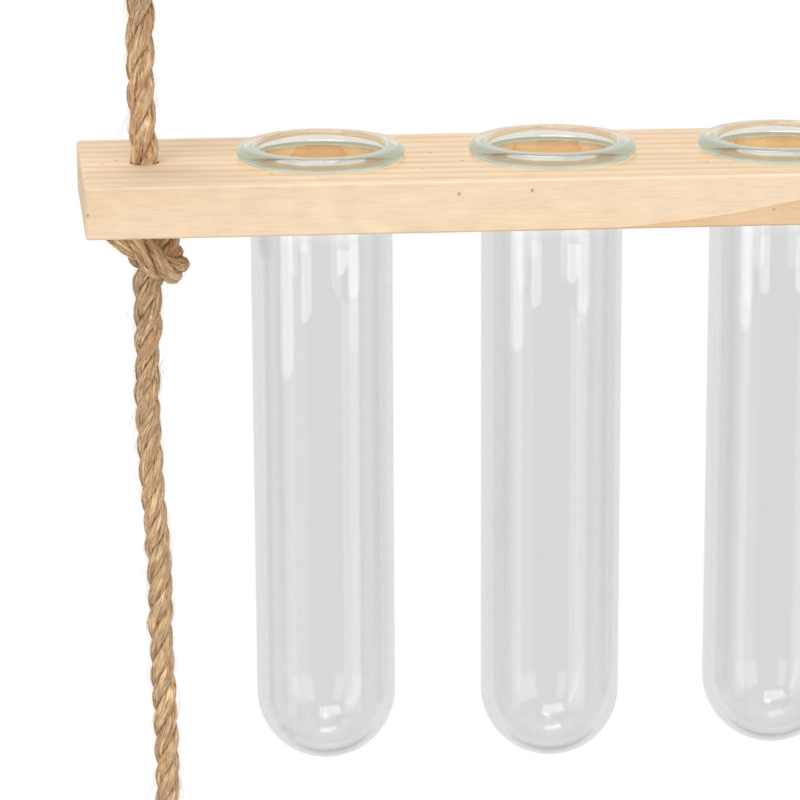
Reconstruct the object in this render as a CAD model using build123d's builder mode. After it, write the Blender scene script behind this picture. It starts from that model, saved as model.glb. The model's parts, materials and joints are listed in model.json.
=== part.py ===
from build123d import *
from math import acos, ceil, cos, degrees, pi, radians, sin, sqrt, tan
import os

# A hanging vase: a wooden bar that holds five test tubes by their rims, carried by two twisted ropes.
# X runs along the bar and the front looks to -Y. The origin lies midway between the two hanging
# loops, at the height where a hook touches them. Lengths are in millimetres.

os.makedirs("parts", exist_ok=True)

# Bar
bar_depth = 50.0
bar_thickness = 11.0
bar_end_skew = 2.0  # degrees that both ends are sawn out of square, the same way
bar_arris = 0.4  # the edges are broken with a light sanding
tube_pitch = 49.5
tube_to_rope = 37.5  # from the last tube's middle to the rope's
rope_to_end = 13.5  # from the rope's middle to the bar's end, which makes the bar 300 long

# Test tubes
tube_drops = (134.2, 135.2, 133.7, 134.6, 134.0)  # below the bar's top: no two are quite alike
tube_diameter = 30.4
tube_wall = 1.5
tube_clearance = 0.5  # between a tube and its hole, on the radius
rim_overhang = 2.7  # of the bead beyond the tube's wall
rim_height = 3.1
rim_lip = 0.8  # round of the rim's inner edge
rim_seat_gap = 0.2  # the bead stands on the raised grain, a hair above the bar's face
nub_radius = 2.4  # where the glass was drawn closed, inside the bottom
nub_height = 0.9

# Ropes: three strands twisted together, a little wider above the bar than below it
rope_diameter = 5.6
rope_clearance = 0.35  # between a rope and its hole, on the radius
knot_rope_diameter = 4.5  # drawn tight in a knot
tail_diameter = 5.0
stopper_drop = 8.0  # from the bar's underside to the middle of the knot that carries it
loose_end = 6.0  # under the last knot

# Hanging loops
throat_rise = 38.5  # from the bar's top to where a loop's binding starts
throat_gap = 0.3  # between the loop and the rope that swings under it
leg_gap = 0.5  # between the two legs of a loop
twine_diameter = 3.0
twine_turns = 4
twine_gap = 0.5  # between one turn and the next
twine_clearance = 0.35  # between the binding and the legs

# Half of a tight overhand knot, from the knot's middle: the rope comes in at the top. The other
# half is the same, turned half round about Y.
half_knot = [
    (0, 0, 10.5),
    (0, 0, 6.4),
    (-3.0, 0.8, 1.5),
    (-1.9, 5.0, -3.0),
    (3.2, 6.2, -5.3),
    (6.8, 2.8, -5.5),
    (6.6, -2.3, -4.4),
    (3.4, -4.9, -2.3),
]

# The rope between its two knots, from the stopper knot's lower end: it hangs free and keeps a set
tail_route = [
    (0, 0, 0),
    (0, 0, -8.0),
    (-0.6, 0.3, -22.0),
    (-0.1, -0.2, -38.0),
    (1.5, 0.3, -59.0),
    (1.25, 0.8, -78.0),
    (2.2, 0.2, -99.5),
    (2.2, 0.2, -118.5),
]

# One side of a hanging loop, from above the binding's top up to the crown, over the standing leg
loop_side = [
    (0, 0, 4.5),
    (-4.6, 0, 13.0),
    (-7.2, 0, 24.0),
    (-4.6, 0, 34.5),
]
crown_rise = 40.5

# Shares that every route keeps
corner_share = 0.45  # of the shorter run beside a corner, taken up by the corner's arc
step_share = 0.1  # of a rope's diameter, between the points where its gap to itself is measured
apart_share = 1.8  # of a rope's diameter, past which two points along it count as apart


def half_turn(before, corner, after):
    """Half the angle, in radians, that a route turns by at a corner."""
    return radians((Vector(corner) - Vector(before)).get_angle(Vector(after) - Vector(corner)) / 2)


def corner_radius(before, corner, after):
    """Radius of a corner's arc: as large as the shorter run beside it allows."""
    shorter_run = min((Vector(corner) - Vector(end)).length for end in (before, after))
    return corner_share * shorter_run / tan(half_turn(before, corner, after))


def arc_inset(before, corner, after):
    """How far inside its corner an arc passes."""
    return corner_radius(before, corner, after) * (1 / cos(half_turn(before, corner, after)) - 1)


def biarc(start, start_way, end, end_way):
    """Where two tangent arcs from start to end meet, and their direction there."""
    span = end - start
    ways = start_way + end_way
    bend = ways.dot(ways) - 4
    reach = (span.dot(ways) - sqrt(span.dot(ways) ** 2 - bend * span.dot(span))) / bend
    first_corner = start + start_way * reach
    last_corner = end - end_way * reach
    return (first_corner + last_corner) * 0.5, last_corner - first_corner


def least_gap(line, diameter):
    """Least gap between stretches of a tube that lie more than a bend apart along it."""
    steps = ceil(line.length / (step_share * diameter))
    points = [line @ (step / steps) for step in range(steps + 1)]
    apart = ceil(apart_share * diameter * steps / line.length)
    distances = [(a - b).length for i, a in enumerate(points) for b in points[i + apart :]]
    return min(distances, default=line.length) - diameter


def save(name, piece):
    """Writes a piece under its name."""
    piece.part.label = name
    export_step(piece.part, f"parts/{name}.step")


def save_tube(name, piece, line, diameter, radii):
    """Writes a tube, and prints how tight it turns, its gap to itself and how true its volume is."""
    volume_share = piece.part.volume / (pi * diameter**2 / 4 * line.length)
    print(f"{name}: {line.length:.1f} long, volume share {volume_share:.4f}")
    print(f"  least gap to itself {least_gap(line, diameter):.2f}")
    print(f"  radii {', '.join(f'{radius:.1f}' for radius in radii)}")
    save(name, piece)


# Places that follow
rope_x = tube_pitch * (len(tube_drops) - 1) / 2 + tube_to_rope
rope_radius = rope_diameter / 2
tube_radius = tube_diameter / 2
twine_pitch = twine_diameter + twine_gap
binding_height = twine_turns * twine_pitch + twine_diameter
leg_spacing = rope_diameter + leg_gap
crown = (leg_spacing / 2, 0, crown_rise)
far_side = [(leg_spacing - x, y, z) for x, y, z in reversed(loop_side)]
binding_top = rope_radius + arc_inset(loop_side[-1], crown, far_side[0]) - crown_rise
binding_bottom = binding_top - binding_height
pivot_height = binding_bottom - throat_gap - rope_radius
bar_top = binding_bottom - throat_rise
bar_bottom = bar_top - bar_thickness
knot_reach = half_knot[0][2]
stopper_height = bar_bottom - stopper_drop
tail_top = stopper_height - knot_reach
end_knot_height = tail_top + tail_route[-1][2] - knot_reach


def make_bar():
    """The bar: a board with its ends out of square, five tube holes and two rope holes."""
    half_length = rope_x + rope_to_end
    half_depth = bar_depth / 2
    skew = half_depth * tan(radians(bar_end_skew))
    corners = [
        (-half_length + skew, -half_depth),
        (half_length + skew, -half_depth),
        (half_length - skew, half_depth),
        (-half_length - skew, half_depth),
    ]
    with BuildPart() as bar:
        with BuildSketch(Plane.XY.offset(bar_bottom)):
            with BuildLine():
                Polyline(*corners, close=True)
            make_face()
        extrude(amount=bar_thickness)
        chamfer(bar.edges(), length=bar_arris)
        with BuildSketch(Plane.XY.offset(bar_bottom)):
            with GridLocations(tube_pitch, 0, len(tube_drops), 1):
                Circle(tube_radius + tube_clearance)
            with GridLocations(2 * rope_x, 0, 2, 1):
                Circle(rope_radius + rope_clearance)
        extrude(amount=bar_thickness, mode=Mode.SUBTRACT)
    save("bar", bar)


def make_tube(name, x, drop):
    """A test tube: a round bottom, a straight wall and a rolled bead for a rim, turned in one."""
    bore_radius = tube_radius - tube_wall
    bead_radius = rim_height / 2
    bead_x = tube_radius + rim_overhang - bead_radius
    rim_top = rim_seat_gap + rim_height
    lip_x = bore_radius + rim_lip
    lip_height = rim_top - rim_lip
    dome_height = tube_radius - drop
    nub_angle = acos(nub_radius / bore_radius)
    nub_edge = (nub_radius, dome_height - bore_radius * sin(nub_angle))
    nub_top = (0, dome_height - bore_radius + nub_height)
    with BuildPart() as tube:
        with BuildSketch(Plane(origin=(x, 0, bar_top), x_dir=(1, 0, 0), z_dir=(0, -1, 0))):
            with BuildLine():
                Line(nub_top, (0, -drop))
                CenterArc((0, dome_height), tube_radius, -90, 90)
                Polyline((tube_radius, dome_height), (tube_radius, rim_seat_gap), (bead_x, rim_seat_gap))
                CenterArc((bead_x, rim_seat_gap + bead_radius), bead_radius, -90, 180)
                Line((bead_x, rim_top), (lip_x, rim_top))
                CenterArc((lip_x, lip_height), rim_lip, 90, 90)
                Line((bore_radius, lip_height), (bore_radius, dome_height))
                CenterArc((0, dome_height), bore_radius, 0, -degrees(nub_angle))
                TangentArc(nub_top, nub_edge, tangent=(1, 0))
            make_face()
        revolve(axis=Axis((x, 0, 0), (0, 0, 1)))
    save(name, tube)


def make_rope(name, side, height, route, diameter):
    """A stretch of rope: a tube along straight runs that tangent arcs join."""
    radii = [corner_radius(*corner) for corner in zip(route, route[1:], route[2:])]
    with BuildPart() as rope:
        # the left rope's own frame, which for the right one is turned half round
        with BuildLine(Plane(origin=(side * rope_x, 0, height), x_dir=(-side, 0, 0))) as path:
            FilletPolyline(*route, radius=radii)
        line = path.wire()
        with BuildSketch(Plane(origin=line @ 0, z_dir=line % 0)):
            Circle(diameter / 2)
        sweep(path=line)
    save_tube(name, rope, line, diameter, radii)


def make_upper_rope(name, side):
    """The taut rope through the bar, up to the ball-shaped bend that it swings about."""
    bottom = stopper_height + knot_reach
    with BuildPart() as rope:
        with BuildSketch(Plane(origin=(side * rope_x, 0, 0), x_dir=(1, 0, 0), z_dir=(0, -1, 0))):
            with BuildLine():
                Polyline((0, pivot_height + rope_radius), (0, bottom), (rope_radius, bottom),
                         (rope_radius, pivot_height))
                CenterArc((0, pivot_height), rope_radius, 0, 90)
            make_face()
        revolve(axis=Axis((side * rope_x, 0, 0), (0, 0, 1)))
    save(name, rope)


def make_binding(name, side):
    """Twine wound round both legs of a loop: half turns of two arcs each, and straight ends."""
    middle = Vector(side * (rope_x - leg_spacing / 2), 0, binding_bottom + twine_diameter / 2)
    radius = leg_spacing / 2 + rope_radius + twine_clearance + twine_diameter / 2

    def place(turns):
        angle = 2 * pi * turns - side * pi / 2
        return middle + Vector(radius * cos(angle), radius * sin(angle), twine_pitch * turns)

    def way(turns):
        angle = 2 * pi * turns - side * pi / 2
        along = 2 * pi * radius
        return Vector(-along * sin(angle), along * cos(angle), twine_pitch).normalized()

    with BuildPart() as binding:
        with BuildLine() as path:
            Line(place(0) - way(0) * twine_diameter, place(0))
            for step in range(2 * twine_turns):
                start, end = step / 2, (step + 1) / 2
                joint, joint_way = biarc(place(start), way(start), place(end), way(end))
                TangentArc(place(start), joint, tangent=way(start))
                TangentArc(joint, place(end), tangent=joint_way)
            Line(place(twine_turns), place(twine_turns) + way(twine_turns) * twine_diameter)
        line = path.wire()
        with BuildSketch(Plane(origin=line @ 0, z_dir=line % 0)):
            Circle(twine_diameter / 2)
        sweep(path=line)
    save_tube(name, binding, line, twine_diameter, [radius])


def knot_route(longer=0.0):
    """An overhand knot from top to bottom, with its lower end longer by some length."""
    lower_half = [(-x, y, -z) for x, y, z in reversed(half_knot)]
    x, y, z = lower_half.pop()
    return half_knot + lower_half + [(x, y, z - longer)]


def loop_route():
    """A hanging loop, from its standing leg's lower end round to its short leg's."""
    standing_end = (0, 0, -binding_height)
    short_end = (leg_spacing, 0, -binding_height)
    return [standing_end] + loop_side + [crown] + far_side + [short_end]


make_bar()
for index, drop in enumerate(tube_drops):
    make_tube(f"tube_{index + 1}", tube_pitch * (index - (len(tube_drops) - 1) / 2), drop)
for hand, side in (("left", -1), ("right", 1)):
    make_rope(f"{hand}_loop", side, binding_top, loop_route(), rope_diameter)
    make_binding(f"{hand}_loop_wrap", side)
    make_upper_rope(f"{hand}_upper_rope", side)
    make_rope(f"{hand}_stopper_knot", side, stopper_height, knot_route(), knot_rope_diameter)
    make_rope(f"{hand}_tail", side, tail_top, tail_route, tail_diameter)
    # the last knot hangs where the tail has drifted to
    end_x, end_y, _ = tail_route[-1]
    end_knot = [(x + end_x, y + end_y, z) for x, y, z in knot_route(loose_end)]
    make_rope(f"{hand}_end_knot", side, end_knot_height, end_knot, knot_rope_diameter)
print(f"hook to bar's top {-bar_top:.1f}, pivot {pivot_height:.1f}, lowest {end_knot_height:.1f}")
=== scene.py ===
"""A hanging vase: glass test tubes in a pine bar, carried by two twisted jute ropes.

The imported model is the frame. The bar keeps its shape and gets its wood. The tubes are turned again in
clear glass, and the ropes and bindings are laid strand by strand along their routes. Everything is in
metres, in the row frame: X along the bar, the front to -Y, Z up, and the origin midway between the two
hanging loops.
"""

import json
import random
from collections import namedtuple
from math import atan2, cos, hypot, pi, radians, sin, sqrt, tan, tau

import bmesh
import bpy
from mathutils import Matrix, Vector, noise
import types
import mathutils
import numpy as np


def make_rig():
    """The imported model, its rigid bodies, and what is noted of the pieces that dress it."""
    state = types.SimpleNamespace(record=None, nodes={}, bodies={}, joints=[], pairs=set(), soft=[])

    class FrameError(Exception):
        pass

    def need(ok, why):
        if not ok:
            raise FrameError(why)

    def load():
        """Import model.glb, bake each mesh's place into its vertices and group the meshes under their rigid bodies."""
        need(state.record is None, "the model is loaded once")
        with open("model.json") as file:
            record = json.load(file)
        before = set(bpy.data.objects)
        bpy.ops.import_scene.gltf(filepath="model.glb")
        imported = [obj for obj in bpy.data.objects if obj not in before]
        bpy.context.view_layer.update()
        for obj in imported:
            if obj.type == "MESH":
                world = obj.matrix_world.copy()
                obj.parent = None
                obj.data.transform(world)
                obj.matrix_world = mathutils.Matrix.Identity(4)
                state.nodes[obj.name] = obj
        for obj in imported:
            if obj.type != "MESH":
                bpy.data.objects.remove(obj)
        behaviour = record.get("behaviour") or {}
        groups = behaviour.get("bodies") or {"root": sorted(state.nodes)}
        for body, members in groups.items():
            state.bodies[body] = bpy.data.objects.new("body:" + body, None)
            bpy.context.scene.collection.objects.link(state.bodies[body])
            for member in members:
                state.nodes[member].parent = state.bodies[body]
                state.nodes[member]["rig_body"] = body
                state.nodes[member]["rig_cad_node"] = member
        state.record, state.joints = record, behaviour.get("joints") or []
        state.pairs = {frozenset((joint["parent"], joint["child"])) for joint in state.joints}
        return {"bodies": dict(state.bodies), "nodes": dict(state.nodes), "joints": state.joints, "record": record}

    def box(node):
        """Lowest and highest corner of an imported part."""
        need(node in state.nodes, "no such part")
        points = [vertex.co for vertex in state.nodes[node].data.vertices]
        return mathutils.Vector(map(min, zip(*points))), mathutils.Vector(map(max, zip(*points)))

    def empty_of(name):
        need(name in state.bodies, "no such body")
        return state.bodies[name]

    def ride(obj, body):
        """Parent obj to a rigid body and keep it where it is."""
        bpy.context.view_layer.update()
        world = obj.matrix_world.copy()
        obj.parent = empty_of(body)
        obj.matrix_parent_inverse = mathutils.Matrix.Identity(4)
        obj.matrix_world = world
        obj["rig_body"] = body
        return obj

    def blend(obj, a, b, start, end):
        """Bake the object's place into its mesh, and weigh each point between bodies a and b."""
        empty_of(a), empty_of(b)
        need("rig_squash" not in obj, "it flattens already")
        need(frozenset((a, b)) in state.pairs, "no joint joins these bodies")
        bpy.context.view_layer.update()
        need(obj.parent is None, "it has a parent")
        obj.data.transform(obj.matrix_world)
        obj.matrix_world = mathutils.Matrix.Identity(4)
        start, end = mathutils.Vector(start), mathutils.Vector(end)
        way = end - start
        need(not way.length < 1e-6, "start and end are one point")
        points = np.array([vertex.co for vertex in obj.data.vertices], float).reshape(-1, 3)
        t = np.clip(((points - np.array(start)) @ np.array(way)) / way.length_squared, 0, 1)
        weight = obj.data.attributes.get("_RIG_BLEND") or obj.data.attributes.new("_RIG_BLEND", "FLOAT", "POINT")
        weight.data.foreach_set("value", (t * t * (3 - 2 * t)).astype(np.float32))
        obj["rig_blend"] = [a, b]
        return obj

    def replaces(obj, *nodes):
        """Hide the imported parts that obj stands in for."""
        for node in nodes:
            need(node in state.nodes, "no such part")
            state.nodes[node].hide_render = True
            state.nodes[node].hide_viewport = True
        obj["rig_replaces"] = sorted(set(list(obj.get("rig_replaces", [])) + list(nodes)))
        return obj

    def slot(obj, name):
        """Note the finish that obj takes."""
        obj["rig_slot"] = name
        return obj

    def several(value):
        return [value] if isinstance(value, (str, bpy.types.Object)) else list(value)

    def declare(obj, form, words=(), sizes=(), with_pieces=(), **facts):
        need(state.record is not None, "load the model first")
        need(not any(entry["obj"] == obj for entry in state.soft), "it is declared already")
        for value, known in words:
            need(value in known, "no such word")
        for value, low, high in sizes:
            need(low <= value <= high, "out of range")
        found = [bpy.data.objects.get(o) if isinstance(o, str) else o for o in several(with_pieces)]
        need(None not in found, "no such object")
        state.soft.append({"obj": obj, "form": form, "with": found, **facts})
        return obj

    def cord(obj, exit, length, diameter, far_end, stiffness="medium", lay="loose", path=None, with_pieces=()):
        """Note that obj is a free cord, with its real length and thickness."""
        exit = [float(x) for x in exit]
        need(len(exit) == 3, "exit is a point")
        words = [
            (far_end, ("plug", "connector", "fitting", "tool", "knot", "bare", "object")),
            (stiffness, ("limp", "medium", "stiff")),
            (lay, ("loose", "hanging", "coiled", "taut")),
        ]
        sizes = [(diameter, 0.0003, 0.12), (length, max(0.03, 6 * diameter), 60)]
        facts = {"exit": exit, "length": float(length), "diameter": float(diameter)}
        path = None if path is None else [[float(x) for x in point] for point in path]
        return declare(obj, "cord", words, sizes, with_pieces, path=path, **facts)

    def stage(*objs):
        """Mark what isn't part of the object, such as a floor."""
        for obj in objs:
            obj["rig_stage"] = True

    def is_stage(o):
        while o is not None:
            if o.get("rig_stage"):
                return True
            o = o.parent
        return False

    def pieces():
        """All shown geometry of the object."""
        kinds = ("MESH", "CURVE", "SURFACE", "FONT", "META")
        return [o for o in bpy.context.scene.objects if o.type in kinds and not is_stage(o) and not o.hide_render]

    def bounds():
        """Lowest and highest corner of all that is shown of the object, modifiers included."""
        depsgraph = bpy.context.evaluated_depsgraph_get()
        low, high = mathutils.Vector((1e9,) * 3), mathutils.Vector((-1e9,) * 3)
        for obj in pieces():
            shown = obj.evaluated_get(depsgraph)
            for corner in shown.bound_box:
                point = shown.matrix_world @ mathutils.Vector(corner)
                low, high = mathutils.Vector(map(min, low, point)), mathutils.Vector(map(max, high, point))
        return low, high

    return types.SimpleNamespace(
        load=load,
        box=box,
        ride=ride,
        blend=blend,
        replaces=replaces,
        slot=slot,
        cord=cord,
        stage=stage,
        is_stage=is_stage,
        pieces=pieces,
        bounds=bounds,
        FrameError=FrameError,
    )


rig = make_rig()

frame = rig.load()
cad_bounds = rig.bounds()

bl_info = {
    "name": "Hanging Test Tube Vase",
    "version": (1, 0, 0),
    "blender": (4, 5, 0),
    "location": "View3D > Sidebar > Vase",
    "description": "Finishes a packed vase of glass tubes, a pine bar and twisted jute ropes",
    "category": "Add Mesh",
}

MM = 0.001

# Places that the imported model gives
sides = {"left": -1, "right": 1}
tubes = sorted(name for name in frame["nodes"] if name.startswith("tube_"))
bar_low, bar_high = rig.box("bar")
bar_top = bar_high.z
bar_bottom = bar_low.z
swing_joint = next(joint for joint in frame["joints"] if joint["name"] == "swing")
pivot_height = swing_joint["pos_m"][2]

# Ropes and twine
rope_x = 136.5 * MM
leg_spacing = 6.1 * MM
rope_thickness = 5.6 * MM
tight_thickness = 5.6 * MM  # in the knot under the bar, where the rope fills the tube that stands for it
swollen_thickness = 6.1 * MM  # where the rope comes out of that knot
tail_thickness = 5.1 * MM
end_knot_thickness = 4.95 * MM
stopper_length = 78 * MM  # of rope in the knot under the bar
end_knot_length = 82 * MM
twine_thickness = 3.0 * MM
twine_turns = 4
twine_pitch = 3.5 * MM
binding_height = 17.0 * MM
binding_bottom = -53.189 * MM
binding_top = binding_bottom + binding_height
stopper_height = bar_bottom - 8.0 * MM
knot_reach = 10.5 * MM
loose_end = 6.0 * MM
tail_top = stopper_height - knot_reach

# Test tubes
tube_radius = 15.2 * MM
tube_wall = 1.5 * MM
bead_radius = 1.55 * MM  # of the rolled rim's section
lip_radius = 0.8 * MM

# Rope routes, in millimetres, as the part's source has them. X runs towards the bar's middle, Y to the back
# and Z up. Each rope's own frame is the left one's, which for the right rope is turned half round.
half_knot = [
    (0, 0, 10.5),
    (0, 0, 6.4),
    (-3.0, 0.8, 1.5),
    (-1.9, 5.0, -3.0),
    (3.2, 6.2, -5.3),
    (6.8, 2.8, -5.5),
    (6.6, -2.3, -4.4),
    (3.4, -4.9, -2.3),
]
# the knot under the bar, drawn fuller on its right as the bar bears on it
stopper_knot = [
    (0, 0, 10.5),
    (0, 0, 6.4),
    (-2.6, 1.6, 1.2),
    (-2.2, 5.8, -2.4),
    (3.3, 6.6, -3.6),
    (6.2, 3.8, -2.2),
    (6.2, -1.6, -3.9),
    (3.6, -5.2, -3.6),
    (-1.2, -5.4, 1.6),
    (-5.2, -4.4, 4.2),
    (-6.7, -2.3, 4.5),
    (-6.9, 3.0, 5.8),
    (-3.2, 6.2, 6.0),
    (2.0, 6.1, 5.6),
    (4.9, 3.3, 2.8),
    (2.5, 0.8, -2.4),
    (0.2, 0, -6.4),
    (0, 0, -10.5),
]
tail_route = [
    (0, 0, -8.0),
    (-0.6, 0.3, -22.0),
    (-0.1, -0.2, -38.0),
    (1.5, 0.3, -59.0),
    (1.25, 0.8, -78.0),
    (2.2, 0.2, -99.5),
]
tail_end = (2.2, 0.2, -118.5)
standing_route = [
    (0, 0, -100.2),
    (0, 0, -91.7),
    (-0.3, 0, -82.0),
    (-0.6, 0, -70.0),
    (-0.2, 0, -58.0),
    (0, 0, -50.0),
    (0, 0, -41.3),
]
loop_side = [
    (0, 0, 4.5),
    (-4.6, 0, 13.0),
    (-7.2, 0, 24.0),
    (-4.6, 0, 34.5),
]
crown_rise = 40.5


def in_metres(route, height=0.0, shift=(0, 0)):
    """A route in millimetres, raised to its height and shifted sideways, in metres."""
    return [Vector((x + shift[0], y + shift[1], z)) * MM + Vector((0, 0, height)) for x, y, z in route]


def knot_route():
    """An overhand knot from top to bottom: its lower half is the upper one turned half round."""
    return half_knot + [(-x, y, -z) for x, y, z in reversed(half_knot)]


def lower_route():
    """The rope under the bar: the knot that carries it, the tail, and the knot at its end."""
    stopper = in_metres(stopper_knot, stopper_height)
    tail = in_metres(tail_route, tail_top)
    end_x, end_y, end_z = tail_end
    end_height = tail_top + end_z * MM - knot_reach
    end_knot = in_metres(knot_route(), end_height, (end_x, end_y))
    end_knot[-1].z -= loose_end
    return stopper + tail + end_knot


def upper_route():
    """The rope from inside the bar up through its binding, round the loop and back into the binding."""
    side_up = in_metres(loop_side, binding_top)
    crown = [Vector((leg_spacing / 2, 0, binding_top + crown_rise * MM))]
    side_down = [Vector((leg_spacing - place.x, place.y, place.z)) for place in reversed(side_up)]
    leg_heights = (standing_route[-1][2] * MM, binding_bottom)
    short_leg = [Vector((leg_spacing, 0, height)) for height in leg_heights]
    return in_metres(standing_route) + side_up + crown + side_down + short_leg


def binding_route():
    """Twine wound round both legs of a loop, from the bottom up, with twelve points to a turn."""
    turn_points = 12
    clearance = 0.35 * MM
    wound_radius = (leg_spacing + rope_thickness + twine_thickness) / 2 + clearance
    # the spline passes inside its points, which stand off by as much
    radius = wound_radius / cos(pi / turn_points)
    lowest = binding_bottom + twine_thickness / 2
    route = []
    for step in range(twine_turns * turn_points + 1):
        turn = step / turn_points
        angle = tau * turn + pi / 2
        x = leg_spacing / 2 + radius * cos(angle)
        route.append(Vector((x, radius * sin(angle), lowest + twine_pitch * turn)))
    return route


def lower_thickness(length):
    """How thick the rope under the bar is: stops of (distance, thickness) along it."""
    end_knot_start = length - end_knot_length
    easing = 8 * MM  # of the thickness, inside a knot
    swollen_length = 5 * MM
    tail_start = 16 * MM  # from the knot
    return [
        (0, tight_thickness),
        (stopper_length - easing, tight_thickness),
        (stopper_length, swollen_thickness),
        (stopper_length + swollen_length, swollen_thickness),
        (stopper_length + tail_start, tail_thickness),
        (end_knot_start, tail_thickness),
        (end_knot_start + easing, end_knot_thickness),
        (length, end_knot_thickness),
    ]


def place_on_side(side):
    """The turn and shift from a rope's own frame to the row frame."""
    turned = Matrix.Rotation(0 if side < 0 else pi, 4, "Z")
    return Matrix.Translation((side * rope_x, 0, 0)) @ turned


# Smooth lines and the strands that follow them

# A ring that a strand passes through, with its distance along the rope
Ring = namedtuple("Ring", "centre outward sideways radius yarn_turn distance")


def read_line(route, least_step):
    """Points of a route's smooth curve, no closer than least_step."""
    curve = bpy.data.curves.new("route", "CURVE")
    curve.dimensions = "3D"
    curve.resolution_u = 48
    spline = curve.splines.new("NURBS")
    spline.points.add(len(route) - 1)
    for control, place in zip(spline.points, route):
        control.co = (*place, 1)
    spline.order_u = 3
    spline.use_endpoint_u = True
    holder = bpy.data.objects.new("route", curve)
    drawn = bpy.data.meshes.new_from_object(holder)
    places = [vertex.co.copy() for vertex in drawn.vertices]
    bpy.data.objects.remove(holder)
    bpy.data.curves.remove(curve)
    bpy.data.meshes.remove(drawn)
    kept = places[:1]
    for place in places[1:-1]:
        if (place - kept[-1]).length >= least_step:
            kept.append(place)
    if (places[-1] - kept[-1]).length < least_step / 2:
        kept.pop()
    kept.append(places[-1])
    return kept


def frames_along(points):
    """For each point: its distance along the line, its direction and two directions across it."""
    across = Vector((0, -1, 0))
    distance = 0.0
    frames = []
    for index, point in enumerate(points):
        before = points[max(index - 1, 0)]
        after = points[min(index + 1, len(points) - 1)]
        way = (after - before).normalized()
        distance += (point - before).length
        across = (across - way * across.dot(way)).normalized()
        frames.append((point, distance, way, across, way.cross(across)))
    return frames


def line_length(points):
    """How long a line is from its first point to its last."""
    return sum((after - before).length for before, after in zip(points, points[1:]))


def stops_value(stops, distance):
    """The value at a distance, eased between stops of (distance, value)."""
    for (start, low), (end, high) in zip(stops, stops[1:]):
        if distance < end:
            share = max(0.0, (distance - start) / (end - start))
            return low + (high - low) * share * share * (3 - 2 * share)
    return stops[-1][1]


def strand_rings(points, strand, strands, thickness, lay, yarn_lay, seed):
    """The rings that one of a rope's strands passes through."""
    strand_share = 0.55  # of the rope's radius: strands press flat against each other
    middle_share = 0.48  # of the rope's radius, from its middle to a strand's middle
    uneven_share = 0.2  # of a strand's radius
    wander_share = 0.1  # of the way from the rope's middle to a strand's
    wander_angle = 0.3
    uneven_length = 7 * MM
    wander_length = 12 * MM
    rings = []
    turn = tau * strand / strands
    last = 0.0
    for point, distance, way, across, third in frames_along(points):
        width = stops_value(thickness, distance)
        pitch = stops_value(lay, distance)
        turn += tau * (distance - last) / pitch
        last = distance
        # the odd factors keep the strands from swelling and wandering alike
        unevenness = noise.noise(Vector((distance / uneven_length, seed + 7.3 * strand, 0)))
        wander = noise.noise(Vector((distance / wander_length, seed + 3.1 * strand, 5)))
        radius = width / 2 * strand_share * (1 + uneven_share * unevenness)
        stand_off = width / 2 * middle_share * (1 + wander_share * wander)
        angle = turn + wander_angle * wander
        outward = across * cos(angle) + third * sin(angle)
        around = third * cos(angle) - across * sin(angle)
        slope = atan2(tau * stand_off, pitch)
        sideways = around * cos(slope) - way * sin(slope)
        yarn_turn = -tau * distance / yarn_lay + seed + 1.9 * strand
        rings.append(Ring(point + outward * stand_off, outward, sideways, radius, yarn_turn, distance))
    return rings


def upright_rod(built, rod_sides, rings, tip):
    """A rod of unit radius on the origin, with a ring of vertices at each whole height."""
    height = rings - 1
    middle = Matrix.Translation((0, 0, height / 2))
    made = bmesh.ops.create_cone(
        built, cap_ends=True, segments=rod_sides, radius1=1, radius2=tip, depth=height, matrix=middle
    )
    lengthwise = {
        edge
        for vertex in made["verts"]
        for edge in vertex.link_edges
        if abs(edge.verts[0].co.z - edge.verts[1].co.z) > 0.5
    }
    bmesh.ops.subdivide_edges(built, edges=list(lengthwise), cuts=height - 1)


def start_strands():
    """An empty bmesh and its two layers that the jute's material reads."""
    built = bmesh.new()
    return built, built.verts.layers.float_vector.new("straight"), built.verts.layers.float.new("groove_shade")


def lay_strands(name, points, strands, thickness, lay, yarn_lay, yarns, seed, places):
    """A rope of twisted strands, each a rod that is bent along its rings, and those rings."""
    yarn_sides = 8
    yarn_groove = 0.13
    fluff = 0.16
    fluff_width = 0.5 * MM
    fluff_length = 2.2 * MM
    pattern_shift = 310 * MM  # from strand to strand, so that no two show the same fibres
    crevice_shade_start = 0.42  # how far outward a point faces where the painted shade of the crevice between strands begins
    crevice_shade_reach = 0.75
    yarn_shade = 0.45
    built, straight, groove_shade = start_strands()
    all_rings = []
    for strand in range(strands):
        rings = strand_rings(points, strand, strands, thickness, lay, yarn_lay, seed)
        all_rings.append(rings)
        first = len(built.verts)
        upright_rod(built, yarns * yarn_sides, len(rings), 1)
        built.verts.ensure_lookup_table()
        for vertex in built.verts[first:]:
            ring = rings[round(vertex.co.z)]
            around = atan2(vertex.co.y, vertex.co.x)
            along = ring.distance + pattern_shift * (strand + seed)
            unrolled = Vector((ring.radius * cos(around), ring.radius * sin(around), along))
            yarn_crest = abs(cos(around * yarns / 2))
            x, y, z = unrolled
            rough = noise.noise(Vector((x / fluff_width, y / fluff_width, z / fluff_length)))
            height = 1 - yarn_groove * (1 - sqrt(yarn_crest)) + fluff * rough
            turned = around + ring.yarn_turn
            outwards = cos(turned)
            # painted shade: darker where a strand turns into the crevice between strands, and in the grooves between
            # yarns
            strand_crevice_shade = min(1.0, max(0.0, (crevice_shade_start - outwards) / crevice_shade_reach))
            yarn_crevice_shade = yarn_shade * (1 - yarn_crest) ** 2
            vertex[straight] = unrolled
            vertex[groove_shade] = max(strand_crevice_shade, yarn_crevice_shade)
            normal = ring.outward * outwards + ring.sideways * sin(turned)
            vertex.co = ring.centre + normal * ring.radius * height
    return finish_mesh(name, built, places), all_rings


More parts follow.
